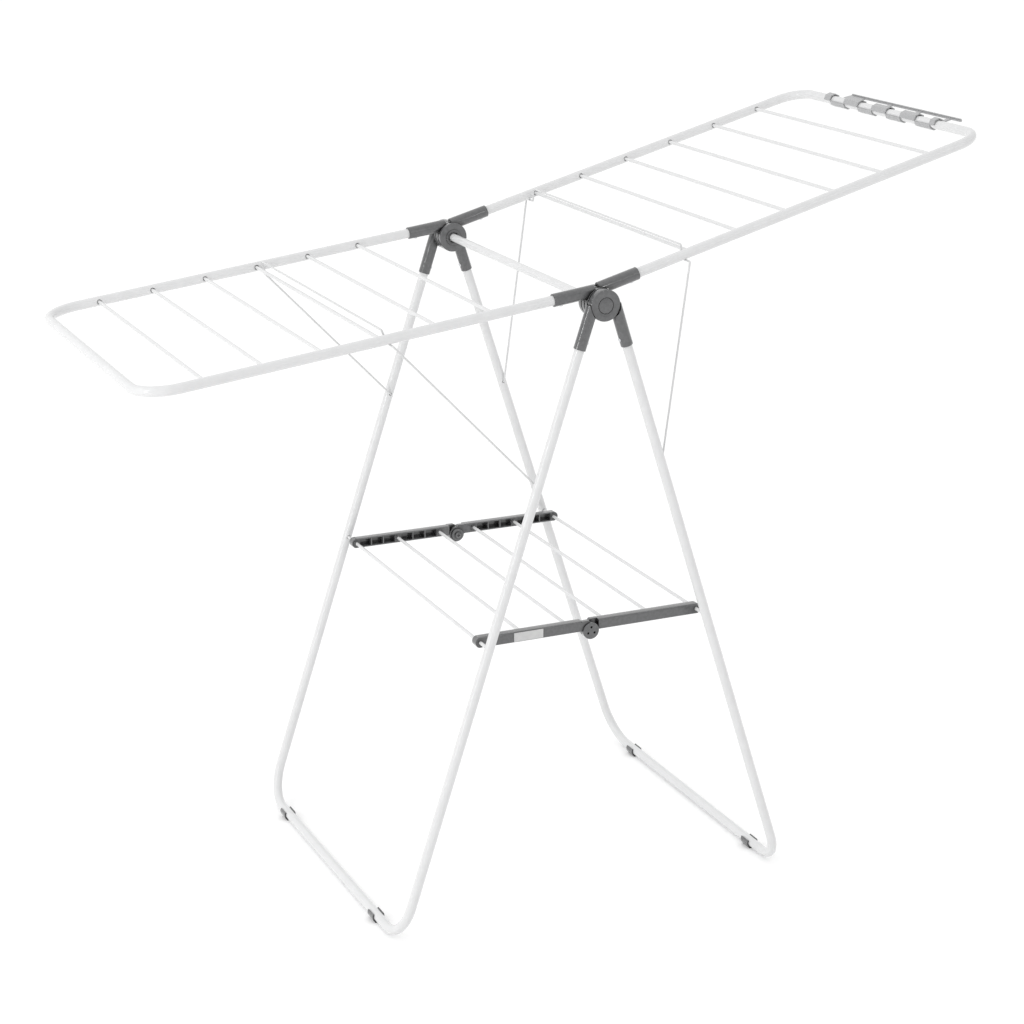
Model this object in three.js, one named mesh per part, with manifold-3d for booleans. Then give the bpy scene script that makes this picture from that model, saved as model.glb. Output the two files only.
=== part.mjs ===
// Folding clothes drying rack with two wings, a low shelf and wire stays.
// Millimetres, +Z up. X runs along the wings, Y along the hub axis, and the feet stand on z = 0.
// Each wing and each leg frame is an arm that swings on the hub axis. An arm is built in a frame
// of its own: +X along the arm away from the hub, +Y along the hub axis, +Z across the arm.

import * as THREE from 'three';
import { mergeVertices } from 'three/addons/utils/BufferGeometryUtils.js';
import Module from 'manifold-3d';

const wasm = await Module();
wasm.setup();

// ---- driving dimensions ----

const GAP = 0.3;

const HUB_HEIGHT = 978;
const LEG_SPREAD = 18.1;
const LEFT_WING_ANGLE = -7.2;
const RIGHT_WING_ANGLE = 15.4;
const LEG_ANGLE = LEG_SPREAD - 90;

const TUBE_R = 7.5;
const TUBE_WALL = 0.9;
const TUBE_SIDES = 12;
const BEND_R = 58;
const RIGHT_WING_BEND_R = 45;
const BEND_STEPS = 6;
const FLOOR_BAR_HEIGHT = 10;

// Half widths are taken at the sleeves. The legs splay by so much for each millimetre down.
const LEG_HALF_WIDTH = 297.6;
const LEG_SPLAY = 0.0036;
const LEG_OFFSET = 17.4;
const LEFT_WING_HALF_WIDTH = 280;
const RIGHT_WING_HALF_WIDTH = 276;
const WING_OFFSET = 19;
const WING_LENGTH = 700;

const ROD_R = 2.75;
const ROD_SIDES = 8;
const ROD_COUNT = 6;
const FIRST_ROD = 166.2;
const ROD_PITCH = 88.25;
const ROD_ENTRY = 1.2;

const AXLE_R = 6.5;
const AXLE_WALL = 1.2;
const AXLE_BORE_R = 7;
const HUB_DISC_R = 24;
const HUB_LAYERS = {
	rightWing: [260.8, 271.2],
	leftWing: [271.6, 281.6],
	leftLeg: [282.0, 291.6],
	rightLeg: [292.0, 301.6],
};
const CAP_Y = [301.9, 305.1];
const CAP_GROOVE = [11.2, 12.8, 0.8];
const CAP_SPIGOT = [4.9, 12];
const SLEEVE_R = 9.4;
const SLEEVE_BORE_R = 7.8;
const SLEEVE_SPAN = [8, 73];
// Wing and leg sleeves pass each other between these half widths when a wing folds down.
const SLEEVE_PARTING = [288.6, 289];
const TUBE_START = 28;
const SLEEVE_MIDDLE = (TUBE_START + SLEEVE_SPAN[1]) / 2;
const RIVET_AT = 61;
const RIVET_SHANK_R = 1.9;
const RIVET_HEAD = [3.2, 1.1];

const STAY_R = 1.5;
const STAY_SIDES = 8;
const STAY_BEND_R = 2.4;
const STAY_HOLE_R = 2.3;
const STAY_PIVOT = 286;
const STAY_ARM_Y = 289.1;
const STAY_END_Y = 296;
const LEFT_STAY_ROD = 3;
const RIGHT_STAY_ROD = 1;
const STAY_BAR = [-6, 11];
const STAY_UNDER_RAIL = [-11, -9.5];
const STAY_JOG_INSET = 13;

const SHELF_HEIGHT = 466.3;
const BAR_Y = [254, 268];
const BAR_BELOW = 8;
const BAR_ABOVE = 8.5;
const BAR_WALL = 2;
const SHELF_RODS = [109.6, 32.2];
const SHELF_ROD_END = 265;
const SHELF_PIN_END = 295;
const SHELF_BOSS = 6;
const KNUCKLE_DROP = 8;
const KNUCKLE_R = 13.5;
const KNUCKLE_SPLIT = [260.8, 261.2];
const KNUCKLE_INNER_BOSS = [10.5, 250];
const KNUCKLE_OUTER_FACE = 271;
const KNUCKLE_PIN_R = 2.6;
const KNUCKLE_PIN_HEAD = [5.2, 2.4];

const LABEL_X = [81, 130];
const LABEL_Z = [459.5, 473.5];
const LABEL_THICKNESS = 0.4;

const LEFT_FEET = { near: -196, far: 217.5 };
const RIGHT_FEET = { near: -205, far: 216 };
const FOOT_LENGTH = 22;
const FOOT_WRAP = [-212, 32];
const FOOT_WALL = 2.2;
const FOOT_PAD_WIDTH = 9;

const STRIP_START = -155.8;
const STRIP_BAND = 42.9;
const STRIP_BANDS = 7;
const STRIP_END_BANDS = [13.3, 17.8];
const STRIP_FACET = 45;
const STRIP_OVER = { from: -62, to: 163, cornerR: 11.4 };
const STRIP_UNDER = { from: 165, to: 345, cornerR: 10.4 };
const STRIP_PLATE = 2.2;
const STRIP_FLANGE = [4, 47];
const STRIP_PLATE_SHIFT = 5;
const STRIP_SLOT = [15, 43.5];
const STRIP_LIP = { width: 2, height: 4.2 };
const STRIP_RIB = 8;
const STRIP_CHAMFER = { out: 13, along: 5 };

// ---- materials ----

function material(color, roughness, metalness) {
	return new THREE.MeshStandardMaterial({ color, roughness, metalness });
}

const whiteSteel = material(0xf2f2f0, 0.35, 0.1);
const darkPlastic = material(0x4b4c4e, 0.55, 0);
const greyPlastic = material(0x8c8d8f, 0.5, 0);
const zincSteel = material(0xb9bcc0, 0.35, 0.9);
const whiteWire = material(0xe9e9e7, 0.4, 0.2);
const labelFilm = material(0xd8d8d6, 0.6, 0);

// ---- solids ----

function radians(degrees) {
	return degrees * Math.PI / 180;
}

// A closed geometry as a solid that can be joined and cut.
function solid(geometry) {
	const bare = geometry.index ? geometry.toNonIndexed() : geometry.clone();
	bare.deleteAttribute('normal');
	bare.deleteAttribute('uv');
	const merged = mergeVertices(bare, 1e-4);
	return new wasm.Manifold(new wasm.Mesh({
		numProp: 3,
		vertProperties: new Float32Array(merged.attributes.position.array),
		triVerts: new Uint32Array(merged.index.array),
	}));
}

function geometryOf(body) {
	const mesh = body.getMesh();
	const geometry = new THREE.BufferGeometry();
	geometry.setAttribute('position', new THREE.BufferAttribute(new Float32Array(mesh.vertProperties), 3));
	geometry.setIndex(Array.from(mesh.triVerts));
	geometry.computeVertexNormals();
	return geometry;
}

function join(bodies) {
	return bodies.reduce((whole, body) => whole.add(body));
}

function cut(body, tools) {
	return tools.reduce((rest, tool) => rest.subtract(tool), body);
}

function box(low, high) {
	const size = high.map((value, i) => value - low[i]);
	const geometry = new THREE.BoxGeometry(...size);
	geometry.translate(...low.map((value, i) => value + size[i] / 2));
	return solid(geometry);
}

// A round bar between two points.
function bar(from, to, radius, sides) {
	const start = new THREE.Vector3(...from);
	const axis = new THREE.Vector3(...to).sub(start);
	const geometry = new THREE.CylinderGeometry(radius, radius, axis.length(), sides);
	geometry.translate(0, axis.length() / 2, 0);
	geometry.applyQuaternion(new THREE.Quaternion().setFromUnitVectors(
		new THREE.Vector3(0, 1, 0), axis.clone().normalize()));
	geometry.translate(...from);
	return solid(geometry);
}

// An outline in the XZ plane, drawn out along Y.
function slab(shape, yFrom, yTo, curveSegments = 12) {
	const geometry = new THREE.ExtrudeGeometry(shape,
		{ depth: yTo - yFrom, bevelEnabled: false, curveSegments });
	geometry.rotateX(Math.PI / 2);
	geometry.translate(0, yTo, 0);
	return solid(geometry);
}

// A line through stations, straight between them, with one ring of a tube at each station.
class StationCurve extends THREE.Curve {
	constructor(stations) {
		super();
		this.stations = stations;
	}

	getUtoTmapping(u) {
		return u;
	}

	getPoint(t, target = new THREE.Vector3()) {
		const place = t * (this.stations.length - 1);
		const i = Math.min(Math.floor(place + 1e-6), this.stations.length - 2);
		return target.lerpVectors(this.stations[i], this.stations[i + 1], place - i);
	}

	getTangent(t, target = new THREE.Vector3()) {
		const last = this.stations.length - 1;
		const i = Math.round(t * last);
		const before = this.stations[Math.max(i - 1, 0)];
		const here = this.stations[i];
		const after = this.stations[Math.min(i + 1, last)];
		const arriving = here.clone().sub(before).normalize();
		const leaving = after.clone().sub(here).normalize();
		return target.copy(arriving.add(leaving).normalize());
	}
}

// Stations along a line of corner points whose inner corners are rounded.
function roundedStations(corners, radius, steps) {
	const points = corners.map((corner) => new THREE.Vector3(...corner));
	const stations = [points[0]];
	for (let i = 1; i < points.length - 1; i++) {
		const back = points[i - 1].clone().sub(points[i]).normalize();
		const on = points[i + 1].clone().sub(points[i]).normalize();
		const halfAngle = back.angleTo(on) / 2;
		const reach = radius / Math.tan(halfAngle);
		const centre = points[i].clone().addScaledVector(
			back.clone().add(on).normalize(), radius / Math.sin(halfAngle));
		const start = points[i].clone().addScaledVector(back, reach).sub(centre);
		const axis = start.clone().cross(points[i].clone().addScaledVector(on, reach).sub(centre)).normalize();
		const turn = Math.PI - 2 * halfAngle;
		for (let step = 0; step <= steps; step++) {
			stations.push(start.clone().applyAxisAngle(axis, turn * step / steps).add(centre));
		}
	}
	stations.push(points[points.length - 1]);
	return stations;
}

function tubeAlong(stations, radius, sides) {
	const section = new THREE.Shape();
	for (let i = 0; i < sides; i++) {
		const angle = 2 * Math.PI * i / sides;
		section[i ? 'lineTo' : 'moveTo'](radius * Math.cos(angle), radius * Math.sin(angle));
	}
	section.closePath();
	return solid(new THREE.ExtrudeGeometry(section, {
		steps: stations.length - 1,
		extrudePath: new StationCurve(stations),
		bevelEnabled: false,
	}));
}

// ---- placing ----

const model = new THREE.Group();

// The right side is built as it stands. The left side is the same, turned half round about Z.
function sideGroup(turned) {
	const group = new THREE.Group();
	group.rotation.z = turned ? Math.PI : 0;
	model.add(group);
	return group;
}

function armGroup(side, angle) {
	const group = new THREE.Group();
	group.position.z = HUB_HEIGHT;
	group.rotation.y = -radians(angle);
	side.add(group);
	return group;
}

function place(group, name, body, look) {
	const mesh = new THREE.Mesh(geometryOf(body), look.clone());
	mesh.name = name;
	group.add(mesh);
	return mesh;
}

// Where a point of an arm at the given angle lies in the XZ plane of its side.
function armPoint(angle, along, across) {
	const a = radians(angle);
	return [
		Math.cos(a) * along - Math.sin(a) * across,
		HUB_HEIGHT + Math.sin(a) * along + Math.cos(a) * across,
	];
}

// The end names: near is the end at -Y. Inside the turned left side, near is at +Y.
function ends(turned) {
	return turned ? { near: 1, far: -1 } : { near: -1, far: 1 };
}

// ---- frames ----

// The half width of a leg frame at a place along it.
function legSide(along) {
	return LEG_HALF_WIDTH + LEG_SPLAY * (along - SLEEVE_MIDDLE);
}

// A tube bent to a U. sideAt gives its half width at a place along it.
function hollowFrame(length, sideAt, offset, bendR) {
	const tube = (start, radius) => {
		const corners = [
			[start, -sideAt(start), offset],
			[length, -sideAt(length), offset],
			[length, sideAt(length), offset],
			[start, sideAt(start), offset],
		];
		return tubeAlong(roundedStations(corners, bendR, BEND_STEPS), radius, TUBE_SIDES);
	};
	return tube(TUBE_START, TUBE_R).subtract(tube(TUBE_START - 1, TUBE_R - TUBE_WALL));
}

// Round holes through the inner walls of both sides of a frame.
function sideHole(along, halfWidth, offset, radius, sides) {
	const wallY = halfWidth - TUBE_R + TUBE_WALL + 1;
	return bar([along, -wallY, offset], [along, wallY, offset], radius, sides);
}

// Both ends of an arm's frame are riveted in their sleeves.
function rivetHoles(halfWidth, offset) {
	return [-halfWidth, halfWidth].map((y) => bar(
		[RIVET_AT, y, offset - 2 * SLEEVE_R], [RIVET_AT, y, offset + 2 * SLEEVE_R],
		RIVET_SHANK_R + GAP, 10));
}

function rodPlaces() {
	return Array.from({ length: ROD_COUNT }, (_, i) => FIRST_ROD + i * ROD_PITCH);
}

function wingFrame(halfWidth, bendR) {
	const frame = hollowFrame(WING_LENGTH, () => halfWidth, WING_OFFSET, bendR);
	const rodHoles = rodPlaces().map((s) => sideHole(s, halfWidth, WING_OFFSET, ROD_R + GAP, ROD_SIDES));
	return cut(frame, [...rodHoles, ...rivetHoles(halfWidth, WING_OFFSET)]);
}

const LEG_LENGTH = (HUB_HEIGHT + Math.sin(radians(LEG_SPREAD)) * LEG_OFFSET - FLOOR_BAR_HEIGHT)
	/ Math.cos(radians(LEG_SPREAD));
const SHELF_PIN_AT = (HUB_HEIGHT + Math.sin(radians(LEG_SPREAD)) * LEG_OFFSET - SHELF_HEIGHT)
	/ Math.cos(radians(LEG_SPREAD));

function legFrame(shelfPinEnters) {
	const frame = hollowFrame(LEG_LENGTH, legSide, LEG_OFFSET, BEND_R);
	const holes = [sideHole(STAY_PIVOT, legSide(STAY_PIVOT), LEG_OFFSET, STAY_HOLE_R, 10)];
	if (shelfPinEnters) {
		holes.push(sideHole(SHELF_PIN_AT, legSide(SHELF_PIN_AT), LEG_OFFSET, ROD_R + GAP, ROD_SIDES));
	}
	return cut(frame, [...holes, ...rivetHoles(LEG_HALF_WIDTH, LEG_OFFSET)]);
}

// ---- hub pieces ----

// A disc on the axle with a sleeve beside it that holds the end of an arm's tube.
function hubPiece(sign, layer, halfWidth, offset) {
	const [inner, outer] = layer;
	const y = sign * halfWidth;
	const disc = bar([0, sign * inner, 0], [0, sign * outer, 0], HUB_DISC_R, 30);
	const sleeve = bar([SLEEVE_SPAN[0], y, offset], [SLEEVE_SPAN[1], y, offset], SLEEVE_R, 16);
	const reach = halfWidth + 2 * SLEEVE_R;
	const [wingFace, legFace] = SLEEVE_PARTING;
	const beyond = halfWidth < wingFace ? [wingFace, reach] : [inner - 40, legFace];
	const [low, high] = beyond.map((value) => sign * value).sort((a, b) => a - b);
	const flat = box([0, low, offset - 2 * SLEEVE_R], [SLEEVE_SPAN[1] + 1, high, offset + 2 * SLEEVE_R]);
	const clearance = [[inner - 40, inner], [outer, reach]].map(([from, to]) => bar(
		[0, sign * from, 0], [0, sign * to, 0], HUB_DISC_R + 2 * GAP, 30));
	const socket = bar([TUBE_START - GAP, y, offset], [SLEEVE_SPAN[1] + 1, y, offset], SLEEVE_BORE_R, 16);
	const bore = bar([0, sign * (inner - 1), 0], [0, sign * (outer + 1), 0], AXLE_BORE_R, 16);
	const body = join([disc, cut(sleeve, [...clearance, flat])]);
	return cut(body, [socket, bore, ...rivetHoles(halfWidth, offset)]);
}

// The rivet's head is on the inner side of the sleeve. Its other end is flush.
function rivet(sign, halfWidth, offset) {
	const y = sign * halfWidth;
	const seat = SLEEVE_R + GAP / 2;
	const [headR, headHeight] = RIVET_HEAD;
	const shank = bar([RIVET_AT, y, offset - seat], [RIVET_AT, y, offset + SLEEVE_R], RIVET_SHANK_R, 10);
	const head = bar([RIVET_AT, y, offset - seat - headHeight], [RIVET_AT, y, offset - seat], headR, 12);
	return join([shank, head]);
}

function addHubEnds(group, turned, arm, layer, halfWidth, offset) {
	for (const [end, sign] of Object.entries(ends(turned))) {
		place(group, `${end}_${arm}_hub`, hubPiece(sign, layer, halfWidth, offset), darkPlastic);
		place(group, `${end}_${arm}_rivet`, rivet(sign, halfWidth, offset), zincSteel);
	}
}

function hubCap(sign) {
	const [inner, outer] = CAP_Y;
	const [grooveIn, grooveOut, grooveDepth] = CAP_GROOVE;
	const [spigotR, spigotLength] = CAP_SPIGOT;
	const profile = [
		[0, inner - spigotLength], [spigotR, inner - spigotLength], [spigotR, inner],
		[HUB_DISC_R, inner], [HUB_DISC_R, outer - 1.2], [HUB_DISC_R - 1.2, outer],
		[grooveOut, outer], [grooveOut, outer - grooveDepth],
		[grooveIn, outer - grooveDepth], [grooveIn, outer], [0, outer],
	].map(([r, y]) => new THREE.Vector2(r, y));
	const geometry = new THREE.LatheGeometry(profile, 30);
	if (sign < 0) {
		geometry.rotateX(Math.PI);
	}
	return solid(geometry);
}

// ---- stays ----

// One bent wire: pivots in the leg tubes, arms, a step under each rail and a bar above a rod.
function stay(wingAngle, halfWidth, rodNumber) {
	const rodAt = FIRST_ROD + (rodNumber - 1) * ROD_PITCH;
	const pivot = armPoint(LEG_ANGLE, STAY_PIVOT, LEG_OFFSET);
	const under = armPoint(wingAngle, rodAt + STAY_UNDER_RAIL[0], WING_OFFSET + STAY_UNDER_RAIL[1]);
	const top = armPoint(wingAngle, rodAt + STAY_BAR[0], WING_OFFSET + STAY_BAR[1]);
	const jogY = halfWidth - STAY_JOG_INSET;
	const half = [
		[pivot, STAY_END_Y],
		[pivot, STAY_ARM_Y],
		[under, STAY_ARM_Y],
		[under, jogY],
		[top, jogY - 3],
	];
	const corner = ([[x, z], y]) => [x, y, z];
	const corners = [...half.map(corner), ...half.reverse().map(([xz, y]) => corner([xz, -y]))];
	return tubeAlong(roundedStations(corners, STAY_BEND_R, 3), STAY_R, STAY_SIDES);
}

// ---- shelf ----

const SHELF_PIN_X = armPoint(LEG_ANGLE, SHELF_PIN_AT, LEG_OFFSET)[0];

// Half a shelf bar on the right side: a channel open to the inside with ribs, solid around each
// rod, with a round end on the leg pin and one eye of the knuckle.
function shelfBar(sign, eyeOuter) {
	const [inner, outer] = BAR_Y;
	const low = SHELF_HEIGHT - BAR_BELOW;
	const high = SHELF_HEIGHT + BAR_ABOVE;
	const endR = (high - low) / 2;
	const start = KNUCKLE_R + 0.5;
	const pivotZ = SHELF_HEIGHT - KNUCKLE_DROP;

	const outline = new THREE.Shape();
	outline.moveTo(start, low);
	outline.lineTo(SHELF_PIN_X, low);
	outline.absarc(SHELF_PIN_X, low + endR, endR, -Math.PI / 2, Math.PI / 2, false);
	outline.lineTo(start, high);
	outline.closePath();

	const [pocketInner, pocketOuter] = [inner - 1, outer - BAR_WALL];
	const bosses = [...SHELF_RODS].reverse().concat(SHELF_PIN_X);
	const pockets = [];
	for (let i = 0; i + 1 < bosses.length; i++) {
		const from = bosses[i] + SHELF_BOSS;
		const width = (bosses[i + 1] - SHELF_BOSS - from - 2 * BAR_WALL) / 3;
		for (let k = 0; k < 3; k++) {
			const left = from + k * (width + BAR_WALL);
			pockets.push([left, left + width]);
		}
	}

	const eyeY = eyeOuter ? [KNUCKLE_SPLIT[1], outer] : [inner, KNUCKLE_SPLIT[0]];
	const discY = eyeOuter ? [KNUCKLE_SPLIT[1], KNUCKLE_OUTER_FACE] : eyeY;
	const along = ([from, to]) => sign > 0 ? [from, to] : [-to, -from];
	const span = (x, y, z) => {
		const [yFrom, yTo] = along(y);
		return box([x[0], yFrom, z[0]], [x[1], yTo, z[1]]);
	};
	const crossBar = (x, z, y, radius, sides) => bar([x, sign * y[0], z], [x, sign * y[1], z], radius, sides);
	const pivotBar = (y, radius, sides) => crossBar(0, pivotZ, y, radius, sides);

	const parts = [
		slab(outline, ...along([inner, outer])),
		span([GAP / 2, start + 1], eyeY, [pivotZ, high]),
		span([0.1, start + 1], eyeY, [low, high - 1]),
		pivotBar(discY, KNUCKLE_R, 28),
	];
	if (!eyeOuter) {
		parts.push(pivotBar([KNUCKLE_INNER_BOSS[1], inner], KNUCKLE_INNER_BOSS[0], 24));
	}
	const tools = pockets.map((x) => span(x, [pocketInner, pocketOuter], [low + BAR_WALL, high - BAR_WALL]));
	const rodHoles = [[SHELF_PIN_X, outer + 1], ...SHELF_RODS.map((x) => [x, SHELF_ROD_END + 0.5])];
	for (const [x, end] of rodHoles) {
		tools.push(crossBar(x, SHELF_HEIGHT, [pocketInner, end], ROD_R + GAP, ROD_SIDES));
	}
	tools.push(pivotBar([KNUCKLE_INNER_BOSS[1] - 1, KNUCKLE_OUTER_FACE + 1], KNUCKLE_PIN_R + GAP, 12));
	return cut(join(parts), tools);
}

function knucklePin(sign) {
	const z = SHELF_HEIGHT - KNUCKLE_DROP;
	const [headR, headHeight] = KNUCKLE_PIN_HEAD;
	const seat = KNUCKLE_INNER_BOSS[1] - GAP;
	const shank = bar([0, sign * seat, z], [0, sign * (KNUCKLE_OUTER_FACE - 0.5), z], KNUCKLE_PIN_R, 12);
	const head = bar([0, sign * (seat - headHeight), z], [0, sign * seat, z], headR, 18);
	const slots = [[4, 0.5], [0.5, 4]].map(([x, up]) => {
		const y = [sign * (seat - headHeight - 1), sign * (seat - headHeight + 1)].sort((a, b) => a - b);
		return box([-x, y[0], z - up], [x, y[1], z + up]);
	});
	return cut(join([shank, head]), slots);
}

// ---- feet and hanger strip ----

// Part of a ring around the Y axis, from one angle to another, drawn out along Y.
function ringSector(innerR, outerR, from, to, yFrom, yTo) {
	const shape = new THREE.Shape();
	const point = (radius, angle) => [radius * Math.cos(radians(angle)), radius * Math.sin(radians(angle))];
	shape.moveTo(...point(innerR, from));
	shape.lineTo(...point(outerR, from));
	shape.absarc(0, 0, outerR, radians(from), radians(to), false);
	shape.lineTo(...point(innerR, to));
	shape.absarc(0, 0, innerR, radians(to), radians(from), true);
	return slab(shape, yFrom, yTo, 9);
}

// A clip that snaps on the floor bar from below, with a flat pad under it.
function foot(y) {
	const from = y - FOOT_LENGTH / 2;
	const to = y + FOOT_LENGTH / 2;
	const grip = TUBE_R + GAP;
	const clip = ringSector(grip, grip + FOOT_WALL, ...FOOT_WRAP, from, to);
	const pad = box([-FOOT_PAD_WIDTH / 2, from, -FLOOR_BAR_HEIGHT], [FOOT_PAD_WIDTH / 2, to, -grip]);
	return join([clip, pad]);
}

// Part of a ring whose outer side has flat facets and whose inner side is round.
function facetedSector(innerR, { from, to, cornerR }, yFrom, yTo) {
	const shape = new THREE.Shape();
	shape.moveTo(innerR * Math.cos(radians(from)), innerR * Math.sin(radians(from)));
	for (let angle = from; angle <= to; angle += STRIP_FACET) {
		shape.lineTo(cornerR * Math.cos(radians(angle)), cornerR * Math.sin(radians(angle)));
	}
	shape.lineTo(innerR * Math.cos(radians(to)), innerR * Math.sin(radians(to)));
	shape.absarc(0, 0, innerR, radians(to), radians(from), true);
	return slab(shape, yFrom, yTo, 9);
}

// Bands that pass by turns over and under the end bar, joined by a slotted plate outside it.
function hangerStrip() {
	const grip = TUBE_R + GAP;
	const [firstBand, lastBand] = STRIP_END_BANDS;
	const widths = [firstBand, ...Array(STRIP_BANDS).fill(STRIP_BAND), lastBand];
	const [plateIn, plateOut] = STRIP_FLANGE;
	const [slotIn, slotOut] = STRIP_SLOT;

	const parts = [];
	const ribs = [];
	let y = STRIP_START;
	widths.forEach((width, i) => {
		const over = i % 2 === 0;
		parts.push(facetedSector(grip, over ? STRIP_OVER : STRIP_UNDER, y, y + width));
		if (!over) {
			ribs.push(y + width / 2);
		}
		y += width;
	});

	const plateFrom = STRIP_START + STRIP_PLATE_SHIFT;
	const plateTo = y + STRIP_PLATE_SHIFT;
	const flange = new THREE.Shape();
	flange.moveTo(plateIn, plateFrom);
	flange.lineTo(plateOut, plateFrom);
	flange.lineTo(plateOut, plateTo - STRIP_CHAMFER.along);
	flange.lineTo(plateOut - STRIP_CHAMFER.out, plateTo);
	flange.lineTo(plateIn, plateTo);
	flange.closePath();
	const bottom = -STRIP_UNDER.cornerR;
	const plate = new THREE.ExtrudeGeometry(flange, { depth: STRIP_PLATE, bevelEnabled: false });
	plate.translate(0, 0, bottom);
	const lip = box([plateOut - STRIP_LIP.width, plateFrom, bottom],
		[plateOut, plateTo - STRIP_CHAMFER.along, bottom + STRIP_LIP.height]);

	// The first slot is open at the near end.
	const slots = ribs.map((rib, i) => box(
		[slotIn, i ? ribs[i - 1] + STRIP_RIB / 2 : plateFrom - 1, bottom - 1],
		[slotOut, rib - STRIP_RIB / 2, bottom + STRIP_PLATE + 1]));
	return join([cut(solid(plate), slots), lip, ...parts]);
}

// ---- assembly ----

function addWing(side, turned, { name, angle, halfWidth, layer, bendR }) {
	const arm = armGroup(side, angle);
	place(arm, `${name}_frame`, wingFrame(halfWidth, bendR), whiteSteel);
	const rodEnd = halfWidth - TUBE_R + ROD_ENTRY - 0.4;
	rodPlaces().forEach((s, i) => {
		const rod = bar([s, -rodEnd, WING_OFFSET], [s, rodEnd, WING_OFFSET], ROD_R, ROD_SIDES);
		place(arm, `${name}_rod_${i + 1}`, rod, whiteSteel);
	});
	addHubEnds(arm, turned, name, layer, halfWidth, WING_OFFSET);
	return arm;
}

function addLeg(side, turned, name, layer, shelfPinEnters) {
	const arm = armGroup(side, LEG_ANGLE);
	place(arm, `${name}_frame`, legFrame(shelfPinEnters), whiteSteel);
	addHubEnds(arm, turned, name, layer, LEG_HALF_WIDTH, LEG_OFFSET);
	return arm;
}

function addFeet(side, turned, name, places) {
	const [x, z] = armPoint(LEG_ANGLE, LEG_LENGTH, LEG_OFFSET);
	for (const [end, y] of Object.entries(places)) {
		const mesh = place(side, `${end}_${name}_foot`, foot(turned ? -y : y), darkPlastic);
		mesh.position.set(x, 0, z);
	}
}

function addShelfHalf(side, turned, name, firstRod, rodStep, pinEnd) {
	for (const [end, sign] of Object.entries(ends(turned))) {
		place(side, `${end}_${name}_shelf_bar`, shelfBar(sign, turned), darkPlastic);
	}
	const places = [[SHELF_PIN_X, pinEnd], ...SHELF_RODS.map((x) => [x, SHELF_ROD_END])];
	places.forEach(([x, endY], i) => {
		const rod = bar([x, -endY, SHELF_HEIGHT], [x, endY, SHELF_HEIGHT], ROD_R, ROD_SIDES);
		place(side, `shelf_rod_${firstRod + i * rodStep}`, rod, whiteSteel);
	});
}

const left = sideGroup(true);
const right = sideGroup(false);
const centre = sideGroup(false);

addLeg(left, true, 'left_leg', HUB_LAYERS.leftLeg, true);
addLeg(right, false, 'right_leg', HUB_LAYERS.rightLeg, false);
addFeet(left, true, 'left', LEFT_FEET);
addFeet(right, false, 'right', RIGHT_FEET);

addWing(left, true, {
	name: 'left_wing',
	angle: LEFT_WING_ANGLE,
	halfWidth: LEFT_WING_HALF_WIDTH,
	layer: HUB_LAYERS.leftWing,
	bendR: BEND_R,
});
const rightWing = addWing(right, false, {
	name: 'right_wing',
	angle: RIGHT_WING_ANGLE,
	halfWidth: RIGHT_WING_HALF_WIDTH,
	layer: HUB_LAYERS.rightWing,
	bendR: RIGHT_WING_BEND_R,
});
const strip = place(rightWing, 'hanger_strip', hangerStrip(), greyPlastic);
strip.position.set(WING_LENGTH, 0, WING_OFFSET);

place(left, 'left_stay', stay(LEFT_WING_ANGLE, LEFT_WING_HALF_WIDTH, LEFT_STAY_ROD), whiteWire);
place(right, 'right_stay', stay(RIGHT_WING_ANGLE, RIGHT_WING_HALF_WIDTH, RIGHT_STAY_ROD), whiteWire);

addShelfHalf(left, true, 'left', 1, 1, SHELF_PIN_END);
addShelfHalf(right, false, 'right', 6, -1, legSide(SHELF_PIN_AT) - TUBE_R - 0.5);
place(left, 'shelf_label', box(
	[LABEL_X[0], BAR_Y[1] + GAP, LABEL_Z[0]],
	[LABEL_X[1], BAR_Y[1] + GAP + LABEL_THICKNESS, LABEL_Z[1]],
), labelFilm);
for (const [end, sign] of Object.entries(ends(false))) {
	place(centre, `${end}_knuckle_pin`, knucklePin(sign), zincSteel);
}

const axleEnd = CAP_Y[0] - GAP;
const hubAxis = new THREE.Group();
hubAxis.position.z = HUB_HEIGHT;
model.add(hubAxis);
place(hubAxis, 'axle_tube', cut(
	bar([0, -axleEnd, 0], [0, axleEnd, 0], AXLE_R, 16),
	[bar([0, -axleEnd - 1, 0], [0, axleEnd + 1, 0], AXLE_R - AXLE_WALL, 16)],
), whiteSteel);
for (const [end, sign] of Object.entries(ends(false))) {
	place(hubAxis, `${end}_hub_cap`, hubCap(sign), darkPlastic);
}

// The origin is on the floor under the middle of the whole rack.
model.updateMatrixWorld(true);
const bounds = new THREE.Box3().setFromObject(model, true);
model.position.x = -(bounds.min.x + bounds.max.x) / 2;
model.updateMatrixWorld(true);

export default model;
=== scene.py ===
"""Folding clothes drying rack: the visible model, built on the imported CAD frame.

Shapes are built in millimetres in the frame of their own arm (+X along the arm away from the hub,
+Y along the hub axis, +Z across the arm) and placed in metres on the CAD.
"""

import math

import bmesh
import bpy
from mathutils import Matrix, Vector


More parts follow.
